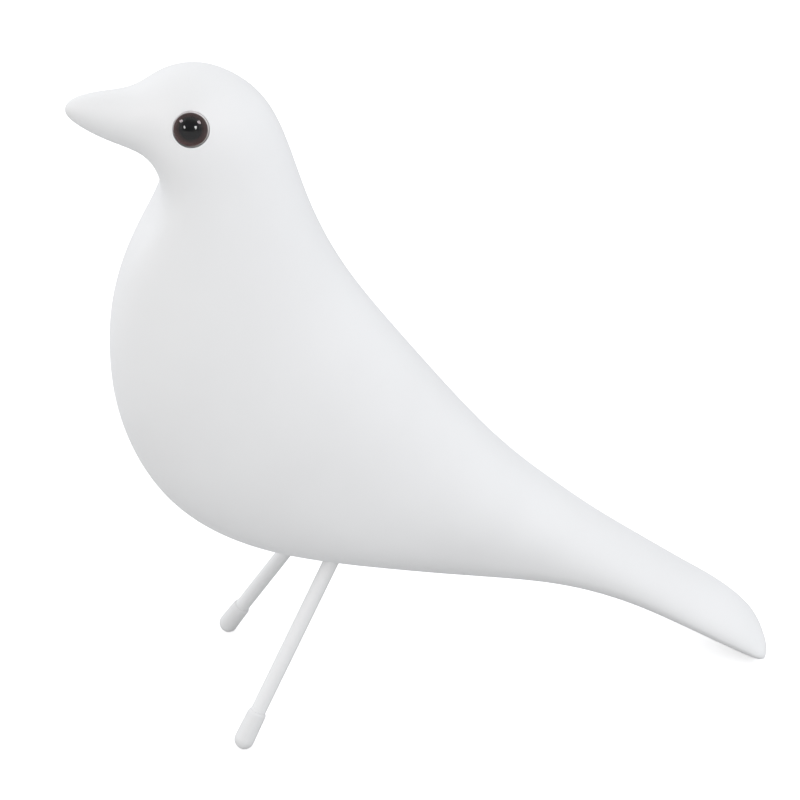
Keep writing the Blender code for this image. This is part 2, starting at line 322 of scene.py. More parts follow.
def moved_and_merged(tree, mesh, position):
    """Put the points in place and close the seam and the two ends."""
    placed = add_node(tree, "GeometryNodeSetPosition", {"Geometry": mesh, "Position": position})
    return add_node(tree, "GeometryNodeMergeByDistance",
                    {"Geometry": placed.outputs[0], "Distance": MERGE_DISTANCE}).outputs[0]


def section_loft_tree():
    """Superellipse sections, one for each input point, joined into a closed skin."""
    tree, given = new_shape_tree("dove_section_loft", [
        ("Points Around", "Int", 128),
        ("Material", "Material", None),
    ])
    spine = given["Geometry"]
    mesh, row, turn = sheet_of_points(tree, spine, given["Points Around"])
    top, bottom, half, widest, upper_form, lower_form = (
        read_along(tree, spine, kind, stored(tree, name, kind), row) for name, kind in (
            ("top", "FLOAT_VECTOR"), ("bottom", "FLOAT_VECTOR"), ("half_width", "FLOAT"),
            ("widest", "FLOAT"), ("upper_form", "FLOAT"), ("lower_form", "FLOAT")))

    cosine = arithmetic(tree, "COSINE", turn)
    sine = arithmetic(tree, "SINE", turn)
    is_upper = arithmetic(tree, "GREATER_THAN", cosine, -0.00001)
    form = blend_between(tree, "FLOAT", is_upper, lower_form, upper_form)
    power = arithmetic(tree, "DIVIDE", 2.0, form)
    reach = arithmetic(tree, "POWER", arithmetic(tree, "ABSOLUTE", cosine), power)
    above = arithmetic(tree, "MULTIPLY", widest, arithmetic(tree, "SUBTRACT", 1.0, reach))
    rest = arithmetic(tree, "SUBTRACT", 1.0, widest)
    below = arithmetic(tree, "MULTIPLY_ADD", rest, reach, widest)
    down = blend_between(tree, "FLOAT", is_upper, below, above)
    swell = arithmetic(tree, "POWER", arithmetic(tree, "ABSOLUTE", sine), power)
    sign = arithmetic(tree, "SIGN", sine)
    sideways = arithmetic(tree, "MULTIPLY", arithmetic(tree, "MULTIPLY", half, swell), sign)
    aside = add_node(tree, "ShaderNodeCombineXYZ", {"X": sideways}).outputs[0]
    in_plane = blend_between(tree, "VECTOR", down, top, bottom)
    position = vector_arithmetic(tree, "ADD", in_plane, aside)
    return close_shape_tree(tree, moved_and_merged(tree, mesh, position), given["Material"])


def turned_piece_tree():
    """The input's points are a profile of radius and height, turned about an axis."""
    tree, given = new_shape_tree("dove_turned_piece", [
        ("Points Around", "Int", 64),
        ("Foot", "Vector", (0, 0, 0)),
        ("Axis", "Vector", (0, 0, 1)),
        ("Largest Radius", "Float", 0.01),
        ("Lowest Height", "Float", -1.0),
        ("Material", "Material", None),
    ])
    profile = given["Geometry"]
    mesh, row, turn = sheet_of_points(tree, profile, given["Points Around"])
    place = tree.nodes.new("GeometryNodeInputPosition").outputs[0]
    point = read_along(tree, profile, "FLOAT_VECTOR", place, row)
    parts = add_node(tree, "ShaderNodeSeparateXYZ", {0: point}).outputs
    cosine = arithmetic(tree, "COSINE", turn)
    sine = arithmetic(tree, "SINE", turn)
    ring = add_node(tree, "ShaderNodeCombineXYZ", {
        "X": arithmetic(tree, "MULTIPLY", parts["X"], cosine),
        "Y": arithmetic(tree, "MULTIPLY", parts["X"], sine),
        "Z": parts["Z"]}).outputs[0]
    share = arithmetic(tree, "DIVIDE", parts["X"], given["Largest Radius"])
    polar = add_node(tree, "ShaderNodeCombineXYZ",
                     {"X": cosine, "Y": sine, "Z": share}).outputs[0]
    kept = add_node(tree, "GeometryNodeStoreNamedAttribute",
                    {"Geometry": mesh, "Name": "turned_place", "Value": polar},
                    data_type="FLOAT_VECTOR", domain="POINT")
    lean = add_node(tree, "FunctionNodeAlignRotationToVector", {"Vector": given["Axis"]}, axis="Z")
    leaned = add_node(tree, "FunctionNodeRotateVector",
                      {"Vector": ring, "Rotation": lean.outputs[0]}).outputs[0]
    stood = vector_arithmetic(tree, "ADD", leaned, given["Foot"])
    parts = add_node(tree, "ShaderNodeSeparateXYZ", {0: stood}).outputs
    pressed = add_node(tree, "ShaderNodeCombineXYZ", {
        "X": parts["X"],
        "Y": parts["Y"],
        "Z": arithmetic(tree, "MAXIMUM", parts["Z"], given["Lowest Height"])}).outputs[0]
    skin = moved_and_merged(tree, kept.outputs[0], pressed)
    return close_shape_tree(tree, skin, given["Material"])


def straight_wire_tree():
    """A round wire with closed ends from one point to another."""
    tree, given = new_shape_tree("dove_straight_wire", [
        ("Start", "Vector", (0, 0, 0)),
        ("End", "Vector", (0, 0, 0.1)),
        ("Diameter", "Float", 0.006),
        ("Points Along", "Int", 40),
        ("Points Around", "Int", 48),
        ("Material", "Material", None),
    ])
    line = add_node(tree, "GeometryNodeCurvePrimitiveLine",
                    {"Start": given["Start"], "End": given["End"]})
    path = add_node(tree, "GeometryNodeResampleCurve",
                    {"Curve": line.outputs[0], "Count": given["Points Along"]})
    radius = arithmetic(tree, "DIVIDE", given["Diameter"], 2.0)
    ring = add_node(tree, "GeometryNodeCurvePrimitiveCircle",
                    {"Resolution": given["Points Around"], "Radius": radius})
    tube = add_node(tree, "GeometryNodeCurveToMesh",
                    {"Curve": path.outputs[0], "Profile Curve": ring.outputs["Curve"],
                     "Fill Caps": True})
    return close_shape_tree(tree, tube.outputs[0], given["Material"])


def mesh_by_rule(name, tree, values, points=(), attributes=None, cutters=()):
    """Run a Geometry Nodes tree, cut what has to be cut and keep the plain mesh."""
    start = bpy.data.meshes.new(name + "_start")
    start.from_pydata([tuple(point) for point in points], [], [])
    for label, (kind, numbers) in (attributes or {}).items():
        layer = start.attributes.new(label, kind, "POINT")
        field = "vector" if kind == "FLOAT_VECTOR" else "value"
        layer.data.foreach_set(field, np.asarray(numbers, np.float32).ravel())
    item = new_object(name, start)
    rule = item.modifiers.new("rule", "NODES")
    rule.node_group = tree
    for socket in tree.interface.items_tree:
        if socket.in_out == "INPUT" and socket.name in values:
            rule[socket.identifier] = values[socket.name]
    for cutter in cutters:
        boolean = item.modifiers.new(cutter.name, "BOOLEAN")
        boolean.operation = "DIFFERENCE"
        boolean.solver = "EXACT"
        boolean.object = cutter
    item.update_tag()
    graph = bpy.context.evaluated_depsgraph_get()
    mesh = bpy.data.meshes.new_from_object(
        item.evaluated_get(graph), preserve_all_data_layers=True, depsgraph=graph)
    item.modifiers.clear()
    item.data = mesh
    mesh.name = name
    bpy.data.meshes.remove(start)
    return item


def outward(item, sharp_degrees=40.0):
    """Merge doubles, turn the faces outwards, and keep real corners crisp."""
    bm = bmesh.new()
    bm.from_mesh(item.data)
    bmesh.ops.remove_doubles(bm, verts=bm.verts, dist=0.000001)
    bmesh.ops.recalc_face_normals(bm, faces=bm.faces)
    for face in bm.faces:
        face.smooth = True
    for edge in bm.edges:
        angle = edge.calc_face_angle(0.0)
        edge.smooth = angle < math.radians(sharp_degrees)
    bm.to_mesh(item.data)
    bm.free()
    return item


def dress(item, slot_name, *nodes):
    """Tie a finished piece to the body of the part, and hide the solids that it stands for."""
    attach(item, "root")
    if nodes:
        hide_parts(*nodes)
    return item


def mirrored(vector, side):
    return Vector((vector[0] * SIDES[side], vector[1], vector[2]))


def closed_curve(knots, period, values, at):
    """Read a smooth closed cubic spline through values, one per knot, at each place in at."""
    count = len(knots)
    gaps = np.append(np.diff(knots), knots[0] + period - knots[-1])
    matrix = np.zeros((count, count))
    right = np.zeros(values.shape)
    for i in range(count):
        before, after, following = gaps[i - 1], gaps[i], (i + 1) % count
        matrix[i, i - 1] += before
        matrix[i, i] += 2 * (before + after)
        matrix[i, following] += after
        slope_after = (values[following] - values[i]) / after
        slope_before = (values[i] - values[i - 1]) / before
        right[i] = 6 * (slope_after - slope_before)
    bend = np.linalg.solve(matrix, right)
    at = np.mod(at, period)
    i = np.searchsorted(knots, at, side="right") - 1
    j = (i + 1) % count
    gap = gaps[i][:, None]
    ahead = (at - knots[i])[:, None]
    behind = gap - ahead
    curved = (bend[i] * behind**3 + bend[j] * ahead**3) / (6 * gap)
    straight_i = (values[i] / gap - bend[i] * gap / 6) * behind
    straight_j = (values[j] / gap - bend[j] * gap / 6) * ahead
    return curved + straight_i + straight_j


def body_spine(settings):
    """Top, bottom, half width and form of each ring, so that the rings fill the solid's box."""
    low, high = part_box("body")
    size = high - low
    tops = np.array([section[1] for section in SECTIONS]) * (size.y, size.z)
    bottoms = np.array([section[2] for section in SECTIONS]) * (size.y, size.z)
    halves = np.array([section[3] for section in SECTIONS]) * size.x / 2
    forms = np.array([section[4:] for section in SECTIONS])
    lengths = np.linalg.norm(np.diff(tops, axis=0), axis=1)
    lengths = (lengths + np.linalg.norm(np.diff(bottoms, axis=0), axis=1)) / 2
    knots = np.append(0, np.cumsum(np.sqrt(lengths)))
    period = 2 * knots[-1]
    outline_knots = np.append(knots, period - knots[-2:0:-1])
    upper = np.column_stack([tops, halves])
    lower = np.column_stack([bottoms, -halves])[-2:0:-1]
    outline = np.vstack([upper, lower])

    places = [0.0]
    for i, length in enumerate(lengths):
        least = settings.tip_rings if i in (0, len(lengths) - 1) else 2
        rings = max(least, round(length / settings.ring_step))
        places.extend(np.linspace(knots[i], knots[i + 1], rings + 1)[1:])
    places = np.array(places)
    top = closed_curve(outline_knots, period, outline, places)
    bottom = closed_curve(outline_knots, period, outline, period - places)
    top[[0, -1], 2] = 0
    widest, upper_form, lower_form = (np.interp(places, knots, form) for form in forms.T)

    # How far the rings reach, so that they can be made to fill the box exactly
    turn = np.linspace(0, math.pi, 181)[None]
    power = 2 / np.where(np.cos(turn) >= 0, upper_form[:, None], lower_form[:, None])
    reach = np.abs(np.cos(turn)) ** power
    share = widest[:, None]
    down = np.where(np.cos(turn) >= 0, share * (1 - reach), share + (1 - share) * reach)
    skin = top[:, None, :2] + (bottom - top)[:, None, :2] * down[:, :, None]
    least, most = skin.min(axis=(0, 1)), skin.max(axis=(0, 1))
    scale = np.array((size.y, size.z)) / (most - least)
    half_width = top[:, 2] * size.x / 2 / top[:, 2].max()

    def in_place(points):
        flat = (points[:, :2] - least) * scale + (low.y, low.z)
        return np.column_stack([np.zeros(len(flat)), flat])

    return {
        "top": ("FLOAT_VECTOR", in_place(top)),
        "bottom": ("FLOAT_VECTOR", in_place(bottom)),
        "half_width": ("FLOAT", half_width),
        "widest": ("FLOAT", widest),
        "upper_form": ("FLOAT", upper_form),
        "lower_form": ("FLOAT", lower_form),
    }


def temporary_cylinder(name, radius, start, end):
    """A cylinder from start to end that is only there to cut."""
    axis = end - start
    turn = Vector((0, 0, 1)).rotation_difference(axis).to_matrix().to_4x4()
    bm = bmesh.new()
    bmesh.ops.create_cone(bm, cap_ends=True, segments=96, radius1=radius, radius2=radius,
                          depth=axis.length)
    bmesh.ops.transform(bm, verts=bm.verts, matrix=Matrix.Translation((start + end) / 2) @ turn)
    mesh = bpy.data.meshes.new(name)
    bm.to_mesh(mesh)
    bm.free()
    return new_object(name, mesh)


def eye_seat(eye):
    """Centre and outward axis of the left eye's rim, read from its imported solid."""
    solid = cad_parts["eye_left"]
    points = np.array([solid.matrix_world @ vertex.co for vertex in solid.data.vertices])
    points = np.unique(points.round(7), axis=0)
    spread = points - points.mean(axis=0)
    axis = np.linalg.eigh(spread.T @ spread)[1][:, 0]
    axis *= np.sign(axis[0])
    heights = points @ axis
    back = points[heights < heights.min() + 0.05 * MM].mean(axis=0)
    return Vector(back + axis * eye.seat), Vector(axis)


def softened(corners, steps=6):
    """Round the corners of a profile. Each corner is (radius, height, how far it is rounded)."""
    points = []
    for i, (radius, height, rounding) in enumerate(corners):
        corner = Vector((radius, height))
        if rounding == 0 or i in (0, len(corners) - 1):
            points.append(corner)
            continue
        before = Vector(corners[i - 1][:2]) - corner
        after = Vector(corners[i + 1][:2]) - corner
        first = corner + before.normalized() * min(rounding, before.length * 0.49)
        last = corner + after.normalized() * min(rounding, after.length * 0.49)
        for k in range(steps + 1):
            t = k / steps
            points.append(first * (1 - t) ** 2 + corner * 2 * t * (1 - t) + last * t**2)
    return [(point.x, 0, point.y) for point in points]


def arc_points(radius, height, base, start, end, count):
    """Points of an elliptical arc about the axis, as corners that stay unrounded."""
    return [(abs(radius * math.cos(angle)), base + height * math.sin(angle), 0)
            for angle in np.linspace(start, end, count)]


def new_group(name, inputs, outputs):
    """A shader node group with named inputs and outputs."""
    group = bpy.data.node_groups.new(name, "ShaderNodeTree")
    for label, kind, default in inputs:
        socket = group.interface.new_socket(label, in_out="INPUT", socket_type=f"NodeSocket{kind}")
        socket.default_value = default
    for label, kind in outputs:
        group.interface.new_socket(label, in_out="OUTPUT", socket_type=f"NodeSocket{kind}")
    return group, group.nodes.new("NodeGroupInput").outputs, group.nodes.new("NodeGroupOutput")


def noise(tree, vector, size, detail=2.0, roughness=0.5):
    """Noise whose features are about size across."""
    scale = size if isinstance(size, bpy.types.NodeSocket) else 1.0 / size
    return add_node(tree, "ShaderNodeTexNoise", {
        "Vector": vector, "Scale": scale, "Detail": detail, "Roughness": roughness}).outputs[0]


def object_place(tree):
    return tree.nodes.new("ShaderNodeTexCoord").outputs["Object"]


def rescaled(tree, value, from_low, from_high, to_low=0.0, to_high=1.0):
    """Bring a value from one range to another and hold it inside."""
    return add_node(tree, "ShaderNodeMapRange", {
        "Value": value, "From Min": from_low, "From Max": from_high,
        "To Min": to_low, "To Max": to_high}).outputs[0]


def bumped(tree, height, distance):
    """The normal of a surface with bumps of the given height."""
    return add_node(tree, "ShaderNodeBump", {
        "Strength": 1.0, "Distance": distance, "Height": height}).outputs["Normal"]


def coat_grain_group():
    """Height of a sprayed coat: a fine grain over a wider orange peel."""
    group, given, end = new_group("dove_coat_grain", [
        ("Vector", "Vector", (0, 0, 0)),
        ("Fine Size", "Float", 0.0007),
        ("Wide Size", "Float", 0.004),
        ("Wide Share", "Float", 0.5),
    ], [("Height", "Float")])
    fine_scale = arithmetic(group, "DIVIDE", 1.0, given["Fine Size"])
    wide_scale = arithmetic(group, "DIVIDE", 1.0, given["Wide Size"])
    fine = noise(group, given["Vector"], fine_scale, 3.0, 0.55)
    wide = noise(group, given["Vector"], wide_scale, 1.0, 0.4)
    height = blend_between(group, "FLOAT", given["Wide Share"], fine, wide)
    group.links.new(height, end.inputs["Height"])
    return group


def soft_drift_group():
    """Two close colours that drift into each other, and the mask of the drift."""
    group, given, end = new_group("dove_soft_drift", [
        ("Vector", "Vector", (0, 0, 0)),
        ("Size", "Float", 0.05),
        ("Colour", "Color", (0.8, 0.8, 0.8, 1)),
        ("Drift Colour", "Color", (0.78, 0.78, 0.78, 1)),
    ], [("Colour", "Color"), ("Mask", "Float")])
    scale = arithmetic(group, "DIVIDE", 1.0, given["Size"])
    cloud = noise(group, given["Vector"], scale, 3.0, 0.5)
    spread = rescaled(group, cloud, 0.35, 0.65)
    colour = blend_between(group, "RGBA", spread, given["Colour"], given["Drift Colour"])
    group.links.new(colour, end.inputs["Colour"])
    group.links.new(spread, end.inputs["Mask"])
    return group


def settled_dust_group():
    """Where faint dust lies: on faces that look up, in fine specks."""
    group, given, end = new_group("dove_settled_dust", [
        ("Vector", "Vector", (0, 0, 0)),
        ("Amount", "Float", 0.2),
        ("Speck Size", "Float", 0.0006),
    ], [("Mask", "Float")])
    normal = group.nodes.new("ShaderNodeNewGeometry").outputs["Normal"]
    upward = add_node(group, "ShaderNodeSeparateXYZ", {0: normal}).outputs["Z"]
    lying = rescaled(group, upward, 0.2, 1.0)
    scale = arithmetic(group, "DIVIDE", 1.0, given["Speck Size"])
    specks = noise(group, given["Vector"], scale, 2.0, 0.6)
    spotted = rescaled(group, specks, 0.55, 0.75)
    mask = arithmetic(group, "MULTIPLY", arithmetic(group, "MULTIPLY", lying, spotted),
                      given["Amount"])
    group.links.new(mask, end.inputs["Mask"])
    return group


def add_group(tree, name, build, inputs):
    """Add a node of the named group, which is built where it is first needed."""
    group = bpy.data.node_groups.get(name) or build()
    return add_node(tree, "ShaderNodeGroup", inputs, node_tree=group)


def new_material(name, colour):
    """An empty node material with its shader, and a plain colour for the viewport."""
    material = bpy.data.materials.new(name)
    material.use_nodes = True
    material.diffuse_color = (*colour, 1)
    tree = material.node_tree
    return material, tree, tree.nodes["Principled BSDF"]


def white_coat(name, colour, drift, rough, fine, wide, wide_share, relief, dust):
    """A white coat or moulding: drifting white, uneven roughness, grain and faint dust."""
    material, tree, shader = new_material(name, colour)
    place = object_place(tree)
    drifting = add_group(tree, "dove_soft_drift", soft_drift_group, {
        "Vector": place, "Size": 0.06, "Colour": (*colour, 1), "Drift Colour": (*drift, 1)})
    grain = add_group(tree, "dove_coat_grain", coat_grain_group, {
        "Vector": place, "Fine Size": fine, "Wide Size": wide, "Wide Share": wide_share})
    dusty = add_group(tree, "dove_settled_dust", settled_dust_group, {
        "Vector": place, "Amount": dust, "Speck Size": 0.0009})
    dust_colour = (0.70, 0.69, 0.67)
    height = grain.outputs["Height"]
    feed(shader, {
        "Base Color": blend_between(tree, "RGBA", dusty.outputs["Mask"],
                                    drifting.outputs["Colour"], dust_colour),
        "Roughness": rescaled(tree, height, 0.3, 0.7, *rough),
        "Normal": bumped(tree, height, relief),
        "Specular IOR Level": 0.5,
        "Sheen Weight": 0.12,
        "Sheen Roughness": 0.35,
    })
    return material


def clear_glass(name):
    """Clear glass with the faintest uneven polish."""
    material, tree, shader = new_material(name, (0.9, 0.9, 0.9))
    smear = noise(tree, object_place(tree), 0.004)
    feed(shader, {
        "Base Color": (0.97, 0.95, 0.95, 1),
        "Roughness": rescaled(tree, smear, 0.3, 0.7, 0.0, 0.05),
        "Transmission Weight": 1.0,
        "IOR": 1.5,
    })
    return material


def painted_iris(name, eye):
    """A black pupil in a brown iris with fine spokes, rings and a dark edge."""
    material, tree, shader = new_material(name, eye.iris_colour)
    place = add_node(tree, "ShaderNodeAttribute", attribute_name="turned_place").outputs["Vector"]
    share = add_node(tree, "ShaderNodeSeparateXYZ", {0: place}).outputs["Z"]
    along_spokes = vector_arithmetic(tree, "MULTIPLY", place, (1.0, 1.0, 0.35))
    along_rings = vector_arithmetic(tree, "MULTIPLY", place, (0.12, 0.12, 1.0))
    spokes = noise(tree, along_spokes, 0.09, 4.0, 0.6)
    rings = noise(tree, along_rings, 0.07)
    uneven = arithmetic(tree, "SUBTRACT", spokes, 0.5)
    wander = arithmetic(tree, "MULTIPLY_ADD", uneven, 0.07, share)
    ramp = add_node(tree, "ShaderNodeValToRGB", {"Fac": wander})
    base = Vector(eye.iris_colour)
    stops = [
        (0.0, (0.004, 0.004, 0.005)),
        (eye.pupil_share - 0.05, (0.006, 0.006, 0.007)),
        (eye.pupil_share + 0.04, tuple(base * 0.4)),
        (eye.pupil_share + 0.20, tuple(base)),
        (0.86, tuple(base * 1.3)),
        (0.93, tuple(base * 0.5)),
        (1.0, (0.008, 0.006, 0.006)),
    ]
    while len(ramp.color_ramp.elements) < len(stops):
        ramp.color_ramp.elements.new(0.5)
    for element, (position, colour) in zip(ramp.color_ramp.elements, stops):
        element.position = position
        element.color = (*colour, 1)
    light = rescaled(tree, arithmetic(tree, "ADD", spokes, rings), 0.7, 1.3, 0.7, 1.35)
    shaded = add_node(tree, "ShaderNodeVectorMath", {
        0: ramp.outputs["Color"], "Scale": light}, operation="SCALE")
    feed(shader, {
        "Base Color": shaded.outputs[0],
        "Roughness": 0.6,
        "Normal": bumped(tree, spokes, 0.00006),
        "Specular IOR Level": 0.05,
    })
    return material


def white_filler(name):
    """The chalky white filler that the glass is bedded in, seen round its edge."""
    material, tree, shader = new_material(name, (0.8, 0.77, 0.76))
    chalk = noise(tree, object_place(tree), 0.0006, 3.0, 0.6)
    feed(shader, {
        "Base Color": blend_between(tree, "RGBA", chalk, (0.82, 0.79, 0.785),
                                    (0.74, 0.71, 0.705)),
        "Roughness": 0.8,
        "Normal": bumped(tree, chalk, 0.00004),
        "Specular IOR Level": 0.05,
    })
    return material


class DOVE_OT_add_body(bpy.types.Operator):
    """Add the smooth white body, with its eye sockets and leg holes"""

    bl_idname = "dove.add_body"
    bl_label = "Add Body"

    def execute(self, context):
        scene = context.scene
        settings, legs, eye = scene.dove_body, scene.dove_legs, scene.dove_eyes
        coat = white_coat(
            "dove_matt_coat", settings.colour, settings.shade_colour, rough=(0.5, 0.6),
            fine=settings.grain_size, wide=3.5 * MM, wide_share=0.5, relief=0.012 * MM,
            dust=0.15)
        centre, axis = eye_seat(eye)
        cutters = []
        for side in SIDES:
            hip, ankle = mirrored(legs.hip, side), mirrored(legs.ankle, side)
            up = (hip - ankle).normalized()
            cutters.append(temporary_cylinder(
                f"hole_{side}", legs.wire_diameter / 2 + HOLE_GAP, (hip + ankle) / 2,
                hip + up * END_GAP))
            middle, out = mirrored(centre, side), mirrored(axis, side)
            cutters.append(temporary_cylinder(
                f"socket_{side}", eye.diameter / 2 + SOCKET_GAP,
                middle - out * (eye.seat + END_GAP), middle + out * eye.diameter))
        spine = body_spine(settings)
        body = mesh_by_rule(
            "white_body", section_loft_tree(),
            {"Points Around": settings.around, "Material": coat},
            spine["top"][1], spine, cutters)
        for cutter in cutters:
            bpy.data.meshes.remove(cutter.data)
        dress(outward(body), "white_matt_body", "body")
        return {"FINISHED"}


class DOVE_OT_add_legs(bpy.types.Operator):
    """Add the two straight coated wires that the bird stands on"""

    bl_idname = "dove.add_legs"
    bl_label = "Add Wire Legs"

    def execute(self, context):
        legs = context.scene.dove_legs
        coat = white_coat(
            "dove_wire_coat", legs.wire_colour, legs.wire_colour, rough=(0.38, 0.5),
            fine=0.5 * MM, wide=1.6 * MM, wide_share=0.35, relief=0.015 * MM, dust=0.1)
        tree = straight_wire_tree()
        for side in SIDES:
            leg = mesh_by_rule(f"wire_leg_{side}", tree, {
                "Start": mirrored(legs.ankle, side),
                "End": mirrored(legs.hip, side),
                "Diameter": legs.wire_diameter,
                "Points Along": 60,
                "Points Around": 64,
                "Material": coat,
            })
            dress(outward(leg), "white_coated_wire", f"leg_{side}")
        return {"FINISHED"}


class DOVE_OT_add_foot_caps(bpy.types.Operator):
    """Add the two soft caps that are slipped on the lower ends of the wires"""

    bl_idname = "dove.add_foot_caps"
    bl_label = "Add Foot Caps"

    def execute(self, context):
        legs = context.scene.dove_legs
        coat = white_coat(
            "dove_soft_cap", legs.cap_colour, legs.cap_colour, rough=(0.45, 0.6),
            fine=0.4 * MM, wide=2.5 * MM, wide_share=0.4, relief=0.02 * MM, dust=0.3)
        bore = legs.wire_diameter / 2 + 0.03 * MM
        bore_depth = 5 * MM
        end = legs.cap_end / 2
        mouth = legs.cap_mouth / 2
        top = legs.cap_length - end
        corners = [
            (bore, top - bore_depth, 0),
            (bore, top, 0.05 * MM),
            (bore + 0.25 * MM, top, 0.2 * MM),
            (mouth, top - 0.8 * MM, 0.45 * MM),
            (end, 1.2 * MM, 1 * MM),
        ]
        corners += arc_points(end, end, 0, 0, -math.pi / 2, 24)
        tree = turned_piece_tree()
        for side in SIDES:
            ankle, hip = mirrored(legs.ankle, side), mirrored(legs.hip, side)
            cap = mesh_by_rule(f"slip_cap_{side}", tree, {
                "Points Around": 96,
                "Foot": ankle,
                "Axis": hip - ankle,
                "Largest Radius": end,
                "Lowest Height": 0.0,
                "Material": coat,
            }, softened(corners))
            dress(outward(cap, 60), "white_soft_cap", f"foot_cap_{side}")
        return {"FINISHED"}


class DOVE_OT_add_eyes(bpy.types.Operator):
    """Add the two domed glass eyes with their painted irises and white beds"""

    bl_idname = "dove.add_eyes"
    bl_label = "Add Glass Eyes"

    def execute(self, context):
        eye = context.scene.dove_eyes
        glass_radius = eye.glass_diameter / 2
        iris_radius = glass_radius - 0.08 * MM
        bed_radius = eye.diameter / 2 - 0.06 * MM
        bed_bore = glass_radius - 0.5 * MM
        # Heights over the eye's rim
        glass_foot, iris_rim, iris_foot = -2.2 * MM, -1.5 * MM, 0.6 * MM - eye.seat
        bed_top, bed_step, bed_foot = -0.12 * MM, -2.3 * MM, 0.1 * MM - eye.seat
        dome = arc_points(glass_radius, eye.dome, 0, math.pi / 2, 0, 28)
        dome += [(glass_radius, glass_foot, 0.2 * MM), (0, glass_foot, 0)]
        bed = [(bed_bore, bed_step, 0), (bed_bore, bed_top, 0.1 * MM),
               (bed_radius, bed_top, 0.25 * MM), (bed_radius - 0.35 * MM, bed_foot, 0),
               (bed_bore, bed_foot, 0), (bed_bore, bed_step, 0)]
        iris = arc_points(iris_radius, 0.3 * MM, iris_rim, math.pi / 2, 0, 16)
        iris += [(iris_radius - 1.2 * MM, iris_foot, 0.3 * MM), (0, iris_foot, 0)]
        parts = (
            ("glass", dome, glass_radius, clear_glass("dove_eye_glass")),
            ("bed", bed, bed_radius, white_filler("dove_eye_filler")),
            ("iris", iris, iris_radius, painted_iris("dove_eye_iris", eye)),
        )
        tree = turned_piece_tree()
        centre, axis = eye_seat(eye)
        down = (Vector((0, 0, -1)) - axis * -axis.z).normalized()
        shift = down.cross(axis) * eye.glass_shift - down * eye.glass_rise
        outlook = axis * math.cos(eye.glass_tilt) + down * math.sin(eye.glass_tilt)
        for side in SIDES:
            for name, profile, widest, paint in parts:
                place = centre if name == "bed" else centre + shift
                piece = mesh_by_rule(f"eye_{name}_{side}", tree, {
                    "Points Around": 96,
                    "Foot": mirrored(place, side),
                    "Axis": mirrored(outlook, side),
                    "Largest Radius": widest,
                    "Lowest Height": -1.0,
                    "Material": paint,
                }, softened(profile))
                nodes = [f"eye_{side}"] if name == "glass" else []
                slot = "white_matt_body" if name == "bed" else "dark_eye_glass"
                dress(outward(piece), slot, *nodes)
        return {"FINISHED"}


def camera_axes(stage):
    """The camera's own right, up and backward directions."""
    turn, rise = stage.camera_turn, stage.camera_height_angle
    back = Vector((math.cos(turn) * math.cos(rise), -math.sin(turn) * math.cos(rise),
                   math.sin(rise)))
    right = Vector((math.sin(turn), math.cos(turn), 0))
    return right, back.cross(right), back


def add_area_light(name, target, direction, distance, size, power, colour):
    """A soft light that looks at the target from the given direction."""
    lamp = bpy.data.lights.new(name, "AREA")
    lamp.shape = "ELLIPSE"
    lamp.size, lamp.size_y = size
    lamp.energy = power
    lamp.color = colour
    direction = Vector(direction).normalized()
    item = new_object(name, lamp)
    item.location = target + direction * distance
    item.rotation_mode = "QUATERNION"
    item.rotation_quaternion = (-direction).to_track_quat("-Z", "Y")
    item.visible_camera = False
    return item


